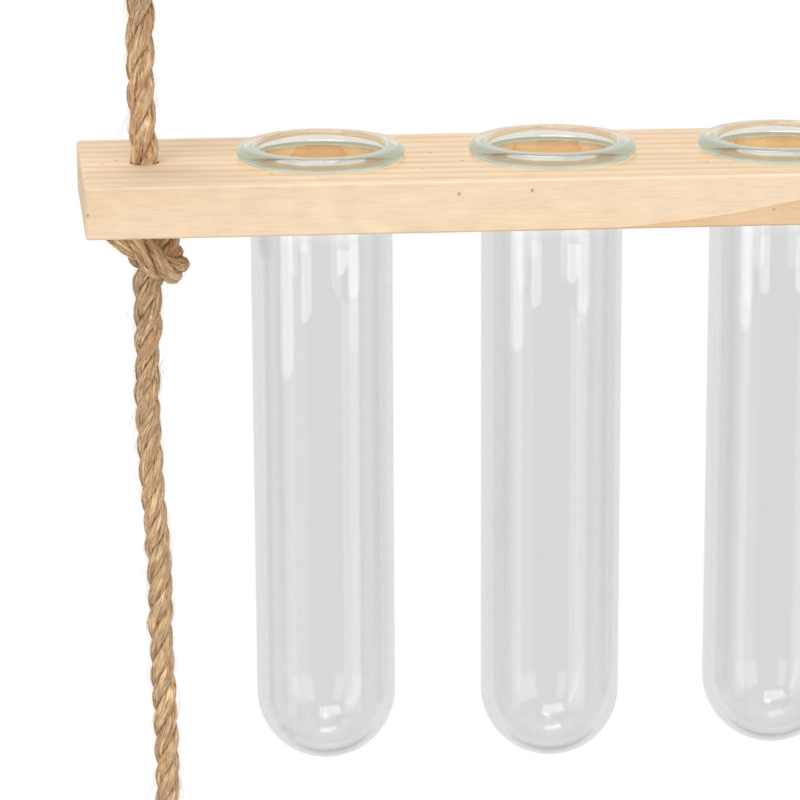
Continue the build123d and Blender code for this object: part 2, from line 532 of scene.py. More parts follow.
def grow_hairs(name, all_rings, count, longest, thickest, lift, joints, seed, places):
    """Fibres that lie on a rope's strands or stray from them, each a thin rod bent along its strand."""
    shortest_share = 0.22  # of the longest
    thinnest_share = 0.5  # of the thickest
    start_angle = 1.05  # radians either side of a strand's outermost line
    widest_angle = 1.25  # beyond it lie the crevices
    drift_angle = 0.8
    clear_of_strand = 1.02  # times its radius
    tip_share = 0.3  # of the width at the root
    across_shift = 0.37 * MM  # from fibre to fibre in the jute's pattern, and so is the next one
    along_shift = 1.3 * MM
    dice = random.Random(seed)
    built, straight, groove_shade = start_strands()
    upright_rod(built, 3, joints + 1, tip_share)
    spacing = joints + 1
    made = 1
    # doubling the rods, each set a step higher, is quicker than making them one by one
    while made < count:
        copies = bmesh.ops.duplicate(built, geom=built.verts[:] + built.edges[:] + built.faces[:])
        fresh = [part for part in copies["geom"] if isinstance(part, bmesh.types.BMVert)]
        bmesh.ops.translate(built, verts=fresh, vec=(0, 0, spacing * made))
        made *= 2
    surplus = [vertex for vertex in built.verts if vertex.co.z > spacing * count - 0.5]
    bmesh.ops.delete(built, geom=surplus, context="VERTS")
    ring_gap = (all_rings[0][-1].distance - all_rings[0][0].distance) / (len(all_rings[0]) - 1)
    hairs = []
    for _ in range(count):
        rings = dice.choice(all_rings)
        length = longest * (shortest_share + (1 - shortest_share) * dice.random() ** 3)
        reach = max(1, round(length / ring_gap / joints))
        run = dice.choice((-1, 1))
        start = dice.randrange(0, len(rings))
        middle = min(max(start + run * reach * joints // 2, 0), len(rings) - 1)
        angle = dice.uniform(-start_angle, start_angle)
        drift = dice.uniform(-drift_angle, drift_angle)
        rise = lift * length * dice.random()
        stray = Vector([dice.uniform(-1, 1) for _ in range(3)]) * rise
        points = []
        for joint in range(joints + 1):
            share = joint / joints
            ring = rings[min(max(start + run * reach * joint, 0), len(rings) - 1)]
            along_yarns = ring.yarn_turn - rings[middle].yarn_turn
            turned = min(max(angle + along_yarns + drift * share, -widest_angle), widest_angle)
            normal = ring.outward * cos(turned) + ring.sideways * sin(turned)
            stand_off = ring.radius * clear_of_strand + rise * share
            points.append(ring.centre + normal * stand_off + stray * share * share)
        width = thickest * dice.uniform(thinnest_share, 1)
        hairs.append((points, width, length))
    for vertex in built.verts:
        hair = int(vertex.co.z // spacing)
        joint = round(vertex.co.z - hair * spacing)
        points, width, length = hairs[hair]
        way = points[min(joint + 1, joints)] - points[max(joint - 1, 0)]
        across = way.orthogonal().normalized()
        third = way.normalized().cross(across)
        vertex[straight] = Vector((hair * across_shift, 0, hair * along_shift + length * joint / joints))
        vertex[groove_shade] = 0.0
        vertex.co = points[joint] + (across * vertex.co.x + third * vertex.co.y) * width
    return finish_mesh(name, built, places)


def finish_mesh(name, built, places=None):
    """Turns a bmesh, put in its place, into a smooth-shaded object at the origin."""
    if places is not None:
        bmesh.ops.transform(built, matrix=places, verts=built.verts)
        bmesh.ops.recalc_face_normals(built, faces=built.faces)
    mesh = bpy.data.meshes.new(name)
    built.to_mesh(mesh)
    built.free()
    mesh.shade_smooth()
    piece = bpy.data.objects.new(name, mesh)
    bpy.context.scene.collection.objects.link(piece)
    return piece


# Test tubes


def turn_tube(name, low, high, steps):
    """A test tube turned from its section: round bottom, straight wall and rolled rim."""
    bore = tube_radius - tube_wall
    rim_foot = high.z - 2 * bead_radius
    dome = low.z + tube_radius
    bead_x = (high.x - low.x) / 2 - bead_radius
    flare = 0.15 * MM  # of the wall, as it meets the rim
    flare_height = 0.6 * MM
    wall_cuts = 6
    dome_steps = 28
    bead_steps = 20
    lip_steps = 8
    weld = 0.001 * MM
    sharp = radians(50)
    built = bmesh.new()

    def arc(vertex, centre, turn, count):
        """Draws on from a vertex in an arc about a centre, and returns its last vertex."""
        made = bmesh.ops.spin(
            built, geom=[vertex], cent=centre, axis=(0, -1, 0), angle=turn, steps=count, use_duplicate=False
        )
        return next(part for part in made["geom_last"] if isinstance(part, bmesh.types.BMVert))

    def line(vertex, x, z):
        """Draws a straight line on from a vertex, and returns its last vertex."""
        end = built.verts.new((x, 0, z))
        built.edges.new((vertex, end))
        return end

    tip = built.verts.new((0, 0, low.z))
    point = arc(tip, (0, 0, dome), pi / 2, dome_steps)
    point = line(point, tube_radius, rim_foot - flare_height)
    point = line(point, tube_radius + flare, rim_foot)
    point = line(point, bead_x, rim_foot)
    point = arc(point, (bead_x, 0, rim_foot + bead_radius), pi, bead_steps)
    point = line(point, bore + lip_radius, high.z)
    point = arc(point, (bore + lip_radius, 0, high.z - lip_radius), pi / 2, lip_steps)
    point = line(point, bore, dome)
    arc(point, (0, 0, dome), -pi / 2, dome_steps)
    painted_bounce_mask = [edge for edge in built.edges if edge.calc_length() > tube_radius]
    bmesh.ops.subdivide_edges(built, edges=painted_bounce_mask, cuts=wall_cuts)
    outside = built.verts.layers.float.new("outside")
    for vertex in built.verts:
        depth = min(vertex.co.z - dome, 0)
        vertex[outside] = float(hypot(vertex.co.x, depth) > (tube_radius + bore) / 2)
    section = built.verts[:] + built.edges[:]
    bmesh.ops.spin(
        built, geom=section, cent=(0, 0, 0), axis=(0, 0, 1), angle=tau, steps=steps, use_merge=True,
        use_duplicate=False,
    )
    bmesh.ops.remove_doubles(built, verts=built.verts, dist=weld)
    middle = ((low.x + high.x) / 2, (low.y + high.y) / 2, 0)
    piece = finish_mesh(name, built, Matrix.Translation(middle))
    piece.data.set_sharp_from_angle(angle=sharp)
    return piece


# Materials


def linear(red, green, blue):
    """A colour as the eye names it, 0 to 255, in the linear values that materials take."""
    shares = [value / 255 for value in (red, green, blue)]
    return tuple(share / 12.92 if share <= 0.04045 else ((share + 0.055) / 1.055) ** 2.4 for share in shares)


def set_inputs(tree, node, values):
    """Gives a node's inputs their plain values, or links them to the outputs that feed them."""
    for key, value in values.items():
        if isinstance(value, bpy.types.NodeSocket):
            tree.links.new(value, node.inputs[key])
        else:
            node.inputs[key].default_value = value


def add_node(tree, kind, inputs=None, **settings):
    """A node with its settings and inputs."""
    node = tree.nodes.new(kind)
    for key, value in settings.items():
        setattr(node, key, value)
    set_inputs(tree, node, inputs or {})
    return node


def calculate(tree, operation, *values):
    """What an operation makes of its values."""
    return add_node(tree, "ShaderNodeMath", dict(enumerate(values)), operation=operation).outputs[0]


def multiply(tree, first, *others):
    """The product of two or more values."""
    for other in others:
        first = calculate(tree, "MULTIPLY", first, other)
    return first


def remap(tree, value, start, end, low=0.0, high=1.0, way="LINEAR"):
    """A value that runs from start to end, as one that runs from low to high and stops there."""
    inputs = {"Value": value, "From Min": start, "From Max": end, "To Min": low, "To Max": high}
    return add_node(tree, "ShaderNodeMapRange", inputs, interpolation_type=way).outputs["Result"]


def mix_colours(tree, factor, first, second, way="MIX"):
    """Two colours mixed. A plain one may be given without its alpha."""
    inputs = {"Factor": factor}
    for key, colour in (("A", first), ("B", second)):
        inputs[key] = colour if isinstance(colour, bpy.types.NodeSocket) else (*colour, 1)
    return add_node(tree, "ShaderNodeMix", inputs, data_type="RGBA", blend_type=way).outputs["Result"]


def mix_shaders(tree, factor, first, second):
    """Two shaders mixed."""
    inputs = {"Fac": factor, 1: first.outputs[0], 2: second.outputs[0]}
    return add_node(tree, "ShaderNodeMixShader", inputs)


def stretched_noise(tree, place, sizes, detail, roughness):
    """Noise whose blotches have these sizes along X, Y and Z."""
    scale = [1 / size for size in sizes]
    mapping = add_node(tree, "ShaderNodeMapping", {"Vector": place, "Scale": scale})
    inputs = {"Vector": mapping.outputs[0], "Scale": 1.0, "Detail": detail, "Roughness": roughness}
    return add_node(tree, "ShaderNodeTexNoise", inputs).outputs["Fac"]


def raised(tree, height, strength, distance):
    """The normals of a surface that its heights roughen."""
    inputs = {"Height": height, "Strength": strength, "Distance": distance}
    return add_node(tree, "ShaderNodeBump", inputs).outputs["Normal"]


def start_material(name, values):
    """A material with a Principled shader whose plain values are set on its own sockets."""
    material = bpy.data.materials.new(name)
    material.use_nodes = True
    tree = material.node_tree
    tree.nodes.clear()
    shader = add_node(tree, "ShaderNodeBsdfPrincipled", values)
    output = add_node(tree, "ShaderNodeOutputMaterial", {"Surface": shader.outputs["BSDF"]})
    return material, tree, shader, output


def attribute(tree, name, output="Fac"):
    """A value that the mesh brings along."""
    return add_node(tree, "ShaderNodeAttribute", attribute_name=name).outputs[output]


def jute_group():
    """The look of jute along a straightened strand: streaks of fibre, painted shade in the grooves, uneven dye."""
    name = "Jute fibres"
    if name in bpy.data.node_groups:
        return bpy.data.node_groups[name]
    tree = bpy.data.node_groups.new(name, "ShaderNodeTree")
    kinds_in = {"Straight": "Vector", "Groove shade": "Float", "Light": "Color", "Middle": "Color", "Dark": "Color"}
    kinds_out = {"Colour": "Color", "Height": "Float"}
    for way, kinds in (("INPUT", kinds_in), ("OUTPUT", kinds_out)):
        for socket, kind in kinds.items():
            tree.interface.new_socket(name=socket, in_out=way, socket_type=f"NodeSocket{kind}")
    entry = add_node(tree, "NodeGroupInput").outputs

    def blotches(width, length, detail):
        return stretched_noise(tree, entry["Straight"], (width, width, length), detail, roughness=0.6)

    fibres = blotches(0.34 * MM, 3.4 * MM, detail=2.5)
    bundles = blotches(0.9 * MM, 6.0 * MM, detail=1.0)
    patches = blotches(6.0 * MM, 14.0 * MM, detail=1.0)
    fibre_share = 0.65
    bundle_share = 0.35
    streaks = calculate(tree, "MULTIPLY_ADD", fibres, fibre_share, multiply(tree, bundles, bundle_share))
    pale_streak = remap(tree, streaks, 0.41, 0.57)
    tone = mix_colours(tree, pale_streak, entry["Middle"], entry["Light"])
    # painted shade in the crevices and grooves, from the mesh's layer of groove shade
    shade = calculate(tree, "POWER", entry["Groove shade"], 1.6)
    groove_shaded = mix_colours(tree, shade, tone, entry["Dark"])
    dark_streak = remap(tree, fibres, 0.46, 0.34, high=0.75)
    streaked = mix_colours(tree, dark_streak, groove_shaded, entry["Dark"])
    dye = remap(tree, patches, 0.3, 0.7, low=0.86, high=1.1)
    uneven = add_node(tree, "ShaderNodeHueSaturation", {"Value": dye, "Color": streaked})
    add_node(tree, "NodeGroupOutput", {"Colour": uneven.outputs["Color"], "Height": streaks})
    return tree


def jute_material(name, light, middle, dark, relief):
    """Jute with its fibres along the strand."""
    values = {"Roughness": 0.85, "Sheen Weight": 0.25, "Sheen Roughness": 0.5, "Specular IOR Level": 0.25}
    material, tree, shader, _ = start_material(name, values)
    inputs = {
        "Straight": attribute(tree, "straight", "Vector"),
        "Groove shade": attribute(tree, "groove_shade"),
        "Light": (*light, 1),
        "Middle": (*middle, 1),
        "Dark": (*dark, 1),
    }
    fibres = add_node(tree, "ShaderNodeGroup", inputs, node_tree=jute_group())
    normal = raised(tree, fibres.outputs["Height"], 1.0, relief)
    set_inputs(tree, shader, {"Base Color": fibres.outputs["Colour"], "Normal": normal})
    return material


def growth_rings(tree, place):
    """Rings about a pith that lies behind the bar, a little under it and not quite in line with it."""
    pith = (0, 110 * MM, bar_bottom - 22 * MM)
    tilt = (0, radians(-1.2), radians(-0.8))
    inputs = {"Vector": place, "Location": pith, "Rotation": tilt}
    about_pith = add_node(tree, "ShaderNodeMapping", inputs, vector_type="TEXTURE")
    inputs = {"Vector": about_pith.outputs[0], "Scale": (0.12, 1, 1)}
    drawn_out = add_node(tree, "ShaderNodeMapping", inputs)
    inputs = {
        "Vector": drawn_out.outputs[0],
        "Scale": 62.8,  # for rings 5 mm apart
        "Distortion": 2.2,
        "Detail": 2.0,
        "Detail Scale": 0.6,
        "Detail Roughness": 0.5,
        "Phase Offset": 3.2,
    }
    settings = {"wave_type": "RINGS", "rings_direction": "X", "wave_profile": "SAW"}
    return add_node(tree, "ShaderNodeTexWave", inputs, **settings).outputs["Fac"]


def inside_box(tree, place, box):
    """1 inside a box, given by its low and high ends along X, Y and Z, and 0 outside it."""
    within = 1.0
    parts = add_node(tree, "ShaderNodeSeparateXYZ", {0: place}).outputs
    for part, (low, high) in zip(parts, box):
        above = calculate(tree, "GREATER_THAN", part, low)
        below = calculate(tree, "LESS_THAN", part, high)
        within = multiply(tree, within, above, below)
    return within


def pine_material(name, early, late, warm, speck):
    """Sanded pine: growth rings, fine pores, warm clouds, pin knots and painted warm bounce light in the tube holes.
    """
    material, tree, shader, _ = start_material(name, {"Specular IOR Level": 0.3})
    place = add_node(tree, "ShaderNodeTexCoord").outputs["Object"]

    def blotches(length, width, detail):
        return stretched_noise(tree, place, (length, width, width), detail, roughness=0.55)

    pores = blotches(5 * MM, 0.35 * MM, detail=2.0)
    clouds = blotches(45 * MM, 12 * MM, detail=2.0)
    curl = blotches(6 * MM, 3 * MM, detail=3.0)
    rings = growth_rings(tree, place)
    late_wood = calculate(tree, "POWER", rings, 2.2)
    ring_strength = remap(tree, clouds, 0.35, 0.65, low=0.45, high=0.9)
    ringed = mix_colours(tree, multiply(tree, late_wood, ring_strength), early, late)
    warmed = mix_colours(tree, remap(tree, clouds, 0.5, 0.75, high=0.55), ringed, warm)
    mottle = remap(tree, calculate(tree, "ADD", pores, curl), 0.6, 1.4, low=0.9, high=1.08)
    mottled = add_node(tree, "ShaderNodeHueSaturation", {"Value": mottle, "Color": warmed})
    # pin knots: small brown specks, a few to each palm's breadth
    speck_spacing = 6 * MM
    inputs = {"Vector": place, "Scale": 1 / speck_spacing, "Randomness": 1.0}
    specks = add_node(tree, "ShaderNodeTexVoronoi", inputs).outputs["Distance"]
    speck_mask = remap(tree, specks, 0.085, 0.035, high=0.7)
    specked = mix_colours(tree, speck_mask, mottled.outputs["Color"], speck)
    # painted bounce light: the wood in the tube holes is multiplied by a warm colour, for light thrown from wall to
    # wall
    holes_end = 125 * MM
    holes_side = 20 * MM
    skin = 0.6 * MM
    box = ((-holes_end, holes_end), (-holes_side, holes_side), (bar_bottom + skin, bar_top - skin))
    painted_bounce_mask = inside_box(tree, place, box)
    colour = mix_colours(tree, painted_bounce_mask, specked, linear(255, 232, 196), way="MULTIPLY")
    roughness = remap(tree, curl, 0.3, 0.7, low=0.55, high=0.72)
    ring_relief = 0.4
    relief = calculate(tree, "MULTIPLY_ADD", rings, ring_relief, pores)
    normal = raised(tree, relief, 0.5, 0.08 * MM)
    set_inputs(tree, shader, {"Base Color": colour, "Roughness": roughness, "Normal": normal})
    return material


def glass_material(name, shaded_tint, clear_tint, rim_tint, draw_wave):
    """Drawn glass: clearest in the bar and greyer below, the grey being painted shade; green at the rim, where a
    painted glow adds to its tint; with fine waves along the tube.
    """
    values = {"Metallic": 0.0, "IOR": 1.5, "Transmission Weight": 1.0}
    material, tree, shader, output = start_material(name, values)
    place = add_node(tree, "ShaderNodeTexCoord").outputs["Object"]
    height = add_node(tree, "ShaderNodeSeparateXYZ", {0: place}).outputs["Z"]
    grey_start = 5 * MM  # under the bar
    rim_blend = 0.5 * MM
    below = remap(tree, height, bar_bottom, bar_bottom - grey_start, way="SMOOTHSTEP")
    above = remap(tree, height, bar_top - rim_blend, bar_top)
    outside = attribute(tree, "outside")
    # the grey tint is painted shade; at the tube's edges a ray crosses the outside twice but the bore never, so the
    # tint there is doubled, which paints the edges darker
    doubled = [share * share for share in shaded_tint]
    bore_tint = (0.93, 0.93, 0.93)
    edge = mix_colours(tree, outside, bore_tint, doubled)
    slant = add_node(tree, "ShaderNodeLayerWeight", {"Blend": 0.5}).outputs["Facing"]
    grazing = remap(tree, slant, 0.5, 0.62, way="SMOOTHSTEP")
    shaded_grey = mix_colours(tree, grazing, shaded_tint, edge)
    # the rim's darker tint is partly the glass's own green and partly painted shade
    clear = mix_colours(tree, above, clear_tint, rim_tint)
    colour = mix_colours(tree, below, clear, shaded_grey)
    wave_width = 2.5 * MM
    wave_length = 160 * MM
    waves = stretched_noise(tree, place, (wave_width, wave_width, wave_length), 2.0, 0.5)
    haze = remap(tree, waves, 0.4, 0.8, high=0.008)
    normal = raised(tree, waves, 1.0, draw_wave)
    set_inputs(tree, shader, {"Base Color": colour, "Roughness": haze, "Normal": normal})
    # lamps reach the wood and the ropes through the glass
    path = add_node(tree, "ShaderNodeLightPath").outputs
    clear_shadow = add_node(tree, "ShaderNodeBsdfTransparent", {"Color": (0.95, 0.95, 0.95, 1)})
    lit = mix_shaders(tree, path["Is Shadow Ray"], shader, clear_shadow)
    # painted glow: a pale green emission stands in for light that is thrown to and fro in the wall, in the rim a
    # bounce sooner
    most_bounces = 2.5
    bounces = calculate(tree, "ADD", path["Glossy Depth"], above)
    trapped_glow = calculate(tree, "GREATER_THAN", bounces, most_bounces)
    glow = add_node(tree, "ShaderNodeEmission", {"Color": (*linear(186, 192, 172), 1), "Strength": 1.0})
    # the same painted glow veils what lies behind the outside of the rolled rim's lower half
    rim_glow_share = 0.5
    rim_glow_low = 1.5 * MM  # heights above the bar between which the painted glow fades
    rim_glow_high = 3.1 * MM
    side = add_node(tree, "ShaderNodeNewGeometry").outputs
    entering = calculate(tree, "SUBTRACT", 1.0, side["Backfacing"])
    lower_half = remap(tree, height, bar_top + rim_glow_high, bar_top + rim_glow_low, way="SMOOTHSTEP")
    rim_glow_mask = multiply(tree, outside, lower_half, above, entering)
    glow_amount = calculate(tree, "MULTIPLY_ADD", rim_glow_mask, rim_glow_share, trapped_glow)
    set_inputs(tree, output, {"Surface": mix_shaders(tree, glow_amount, lit, glow).outputs[0]})
    return material


def material_named(name, make, *values):
    """A material, made the first time it is asked for."""
    return bpy.data.materials.get(name) or make(name, *values)


# Stage


def seen_directly(tree):
    """1 for rays from the camera, off gloss and through glass, and 0 for soft light."""
    path = add_node(tree, "ShaderNodeLightPath").outputs
    seen = calculate(tree, "MAXIMUM", path["Is Camera Ray"], path["Is Glossy Ray"])
    return calculate(tree, "MAXIMUM", seen, path["Is Transmission Ray"])


def make_world(ambient):
    """A world that lights softly and is seen as plain white."""
    world = bpy.data.worlds.new("Studio")
    bpy.context.scene.world = world
    world.use_nodes = True
    tree = world.node_tree
    tree.nodes.clear()
    soft = add_node(tree, "ShaderNodeBackground", {"Color": (1, 1, 1, 1), "Strength": ambient})
    white = add_node(tree, "ShaderNodeBackground", {"Color": (1, 1, 1, 1), "Strength": 1.0})
    surface = mix_shaders(tree, seen_directly(tree), soft, white)
    add_node(tree, "ShaderNodeOutputWorld", {"Surface": surface.outputs[0]})


def make_floor(height):
    """A plain pale floor that fades to white away from the object."""
    floor_radius = 2600 * MM
    fade_start = 300 * MM
    fade_end = 800 * MM
    built = bmesh.new()
    bmesh.ops.create_circle(
        built, cap_ends=True, segments=96, radius=floor_radius, matrix=Matrix.Translation((0, 0, height))
    )
    floor = finish_mesh("floor", built)
    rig.stage(floor)
    values = {"Base Color": (0.95, 0.95, 0.95, 1), "Roughness": 0.9}
    material, tree, shader, output = start_material("Floor", values)
    place = add_node(tree, "ShaderNodeTexCoord").outputs["Object"]
    flat = add_node(tree, "ShaderNodeVectorMath", {0: place, 1: (1, 1, 0)}, operation="MULTIPLY")
    distance = add_node(tree, "ShaderNodeVectorMath", {0: flat.outputs[0]}, operation="LENGTH")
    fade = remap(tree, distance.outputs["Value"], fade_start, fade_end, way="SMOOTHSTEP")
    white = add_node(tree, "ShaderNodeEmission", {"Color": (1, 1, 1, 1), "Strength": 1.0})
    surface = mix_shaders(tree, multiply(tree, fade, seen_directly(tree)), shader, white)
    set_inputs(tree, output, {"Surface": surface.outputs[0]})
    floor.data.materials.append(material)


def make_lamps():
    """Tall soft boxes at the front's sides, which stand in the glass as pale bands, and two overhead."""
    distance = 1.2
    # name, its two edges in degrees to the left of the front, its lower and upper edge, radiance
    boxes = (
        ("left_near", 24.8, 41.5, -0.41, 0.75, 1.7),
        ("left_far", 55.5, 76.0, -0.43, 0.75, 2.1),
        ("left_low", 56.8, 73.7, -0.85, -0.43, 0.7),
        ("right_near", -38.0, -18.0, -0.41, 0.75, 2.1),
        ("right_far", -58.8, -38.0, -0.43, 0.75, 1.7),
        ("right_low", -56.0, -24.0, -0.85, -0.43, 0.7),
    )
    # name, place, width, depth, radiance
    overheads = (
        ("front_overhead", (-0.35, -0.7, 1.2), 1.1, 0.74, 4.2),
        ("back_overhead", (-0.15, 0.35, 1.2), 0.55, 0.4, 7.5),
    )
    for name, start, end, low, high, radiance in boxes:
        angle = radians((start + end) / 2)
        width = 2 * distance * tan(radians(end - start) / 2)
        place = Vector((-sin(angle) * distance, -cos(angle) * distance, (low + high) / 2))
        hang_lamp(name, place, Vector((-place.x, -place.y, 0)), width, high - low, radiance)
    for name, place, width, depth, radiance in overheads:
        hang_lamp(name, Vector(place), Vector((0, 0, -1)), width, depth, radiance)


def hang_lamp(name, place, aim, width, length, radiance):
    """A soft box of even brightness, turned to face along aim."""
    lamp = bpy.data.lights.new(name, "AREA")
    lamp.shape = "RECTANGLE"
    lamp.size = width
    lamp.size_y = length
    lamp.energy = radiance * pi * width * length
    holder = bpy.data.objects.new(name, lamp)
    bpy.context.scene.collection.objects.link(holder)
    holder.matrix_world = Matrix.Translation(place) @ aim.to_track_quat("-Z", "Y").to_matrix().to_4x4()
    holder.visible_camera = False


def make_camera(settings):
    """The photograph's camera."""
    camera = bpy.data.cameras.new("camera")
    camera.lens = settings.camera_lens
    camera.sensor_width = 36
    camera.clip_start = 50 * MM
    holder = bpy.data.objects.new("camera", camera)
    bpy.context.scene.collection.objects.link(holder)
    holder.matrix_world = (
        Matrix.Translation(settings.camera_place)
        @ Matrix.Rotation(-settings.camera_turn, 4, "Z")
        @ Matrix.Rotation(pi / 2 - settings.camera_tilt, 4, "X")
        @ Matrix.Rotation(settings.camera_roll, 4, "Z")
    )
    bpy.context.scene.camera = holder


# Settings


def length_setting(name, description, default):
    """A length that a user may change."""
    return bpy.props.FloatProperty(name=name, description=description, default=default, unit="LENGTH")


def colour_setting(name, description, default):
    """A colour that a user may change."""
    return bpy.props.FloatVectorProperty(
        name=name, description=description, default=default, subtype="COLOR", min=0, max=1
    )


class VaseRopeSettings(bpy.types.PropertyGroup):
    lay: length_setting(
        "Lay", "Length along the rope in which a strand goes once round, above the bar", 20.7 * MM
    )
    tail_lay: length_setting("Tail lay", "Length in which a strand goes once round in the tail", 17.5 * MM)
    yarn_lay: length_setting("Yarn lay", "Length in which its yarns turn once, the other way", 17.5 * MM)
    ring_step: length_setting("Ring step", "Least distance between two rings of a strand", 0.55 * MM)
    hairs: bpy.props.IntProperty(
        name="Stray fibres", description="Fibres that stray from the rope above the bar", default=2400, min=0
    )
    hair_length: length_setting("Stray length", "Length of the longest stray fibre", 5.5 * MM)
    hair_width: length_setting("Stray width", "Half the width of a stray fibre", 0.045 * MM)
    nap: bpy.props.IntProperty(
        name="Nap", description="Fibres that lie on the rope above the bar", default=3900, min=0
    )
    nap_length: length_setting("Nap length", "Length of the nap's longest fibre", 6.0 * MM)
    nap_width: length_setting("Nap width", "Half the width of a fibre of the nap", 0.13 * MM)
    light: colour_setting("Light fibres", "Colour of the palest fibres", linear(255, 230, 188))
    middle: colour_setting("Fibres", "Main colour of the jute", linear(224, 170, 116))
    # the colour of the painted shade between strands and yarns, which also darkens random streaks of fibre
    dark: colour_setting("Shade and dark fibres", "Colour between strands and yarns", linear(114, 64, 29))


class VaseBarSettings(bpy.types.PropertyGroup):
    early: colour_setting("Early wood", "Pale wood between the rings", linear(244, 219, 187))
    late: colour_setting("Late wood", "Darker side of each ring", linear(222, 178, 134))
    warm: colour_setting("Warm clouds", "Warmer patches of the board", linear(244, 209, 165))
    speck: colour_setting("Pin knots", "Small specks on the face", linear(172, 118, 70))


class VaseTubeSettings(bpy.types.PropertyGroup):
    steps: bpy.props.IntProperty(name="Steps", description="Faces round each tube", default=128, min=24)
    # the tint below the bar paints shade into the glass, and the rim tint is partly painted shade
    shaded_tint: colour_setting("Tint", "What the glass lets through below the bar", (0.822, 0.822, 0.824))
    clear_tint: colour_setting("Clear tint", "What it lets through in the bar", (0.97, 0.98, 0.95))
    rim_tint: colour_setting("Rim tint", "What it lets through at the rim", (0.81, 0.79, 0.725))
    draw_wave: length_setting("Draw lines", "Height of the waves along the drawn glass", 0.01 * MM)


class VaseStageSettings(bpy.types.PropertyGroup):
    floor_height: length_setting("Floor height", "Height of the floor under the hooks", -0.9)
    ambient: bpy.props.FloatProperty(
        name="Soft light", description="Strength of the light from all round", default=0.27, min=0
    )
    camera_place: bpy.props.FloatVectorProperty(
        name="Camera", description="Where the camera stands", subtype="TRANSLATION", unit="LENGTH",
        default=(-0.1452, -0.8376, 0.0843),
    )
    camera_tilt: bpy.props.FloatProperty(
        name="Tilt", description="How far the camera looks down", default=radians(15.288), subtype="ANGLE"
    )
    camera_turn: bpy.props.FloatProperty(
        name="Turn", description="How far the camera looks right", default=radians(4.292), subtype="ANGLE"
    )
    camera_roll: bpy.props.FloatProperty(
        name="Roll", description="How far the camera leans", default=radians(-0.278), subtype="ANGLE"
    )
    camera_lens: bpy.props.FloatProperty(
        name="Lens", description="Focal length in millimetres, for a 36 mm sensor", default=180.87, min=1
    )


# Operators


def lay_rope(name, line, thickness, lay, seed, fibre_seed, fibre_share, side):
    """A stretch of rope, and the stray fibres and the nap on it."""
    settings = bpy.context.scene.vase_rope
    strands = 3
    yarns = 4
    places = place_on_side(side)
    rope, rings = lay_strands(name, line, strands, thickness, lay, settings.yarn_lay, yarns, seed, places)
    # name, number, longest, half the width of the thickest, lift, joints, seed
    kinds = (
        ("fibres", settings.hairs, settings.hair_length, settings.hair_width, 0.35, 3, fibre_seed),
        ("nap", settings.nap, settings.nap_length, settings.nap_width, 0.03, 5, fibre_seed + 30),
    )
    fibres = [
        grow_hairs(f"{name}_{kind}", rings, round(count * fibre_share), *values, places)
        for kind, count, *values in kinds
    ]
    relief = 0.25 * MM
    jute = material_named("Jute rope", jute_material, settings.light, settings.middle, settings.dark, relief)
    for piece in (rope, *fibres):
        piece.data.materials.append(jute)
        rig.slot(piece, "jute")
    return rope, fibres


class VASE_OT_ropes(bpy.types.Operator):
    """Lay both ropes, strand by strand, with their loose fibres"""

    bl_idname = "vase.ropes"
    bl_label = "Ropes"

    def execute(self, context):
        settings = context.scene.vase_rope
        upper_line = read_line(upper_route(), settings.ring_step)
        lower_line = read_line(lower_route(), settings.ring_step)
        upper_length = line_length(upper_line)
        lower_length = line_length(lower_line)
        upper_stops = [(0, rope_thickness), (upper_length, rope_thickness)]
        lower_stops = lower_thickness(lower_length)
        upper_lay = [(0, settings.lay), (upper_length, settings.lay)]
        lay_settles = 1.2 * stopper_length
        lower_lay = [(0, settings.lay), (stopper_length, settings.lay), (lay_settles, settings.tail_lay)]
        lower_share = 1.5  # of the fibres on the rope above the bar
        past_pivot = 5 * MM
        for hand, side in sides.items():
            # seeds are any numbers that differ from piece to piece
            seed = 3 + side
            lower_seed = seed + 11
            fibre_seed = seed + 21
            places = place_on_side(side)
            upper, upper_fibres = lay_rope(
                f"{hand}_hanging_rope", upper_line, upper_stops, upper_lay, seed, fibre_seed, 1.0, side
            )
            name = f"{hand}_knotted_rope"
            lower, lower_fibres = lay_rope(
                name, lower_line, lower_stops, lower_lay, lower_seed, fibre_seed, lower_share, side
            )
            bend_top = (side * rope_x, 0, binding_bottom)
            bend_end = (side * rope_x, 0, 2 * pivot_height - binding_bottom - past_pivot)
            for piece in (upper, *upper_fibres):
                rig.blend(piece, "hanger", "shelf", start=bend_top, end=bend_end)
            for piece in (lower, *lower_fibres):
                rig.ride(piece, "shelf")
            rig.replaces(upper, f"{hand}_loop", f"{hand}_upper_rope")
            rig.replaces(lower, f"{hand}_stopper_knot", f"{hand}_tail", f"{hand}_end_knot")
            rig.cord(
                upper,
                exit=(side * rope_x, 0, bar_top),
                length=upper_length,
                diameter=rope_thickness,
                far_end="knot",
                stiffness="limp",
                lay="taut",
                path=[places @ point for point in upper_line],
                with_pieces=upper_fibres,
            )
            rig.cord(
                lower,
                exit=(side * rope_x, 0, bar_bottom),
                length=lower_length,
                diameter=tail_thickness,
                far_end="knot",
                stiffness="limp",
                lay="hanging",
                path=[places @ point for point in lower_line],
                with_pieces=lower_fibres,
            )
        return {"FINISHED"}


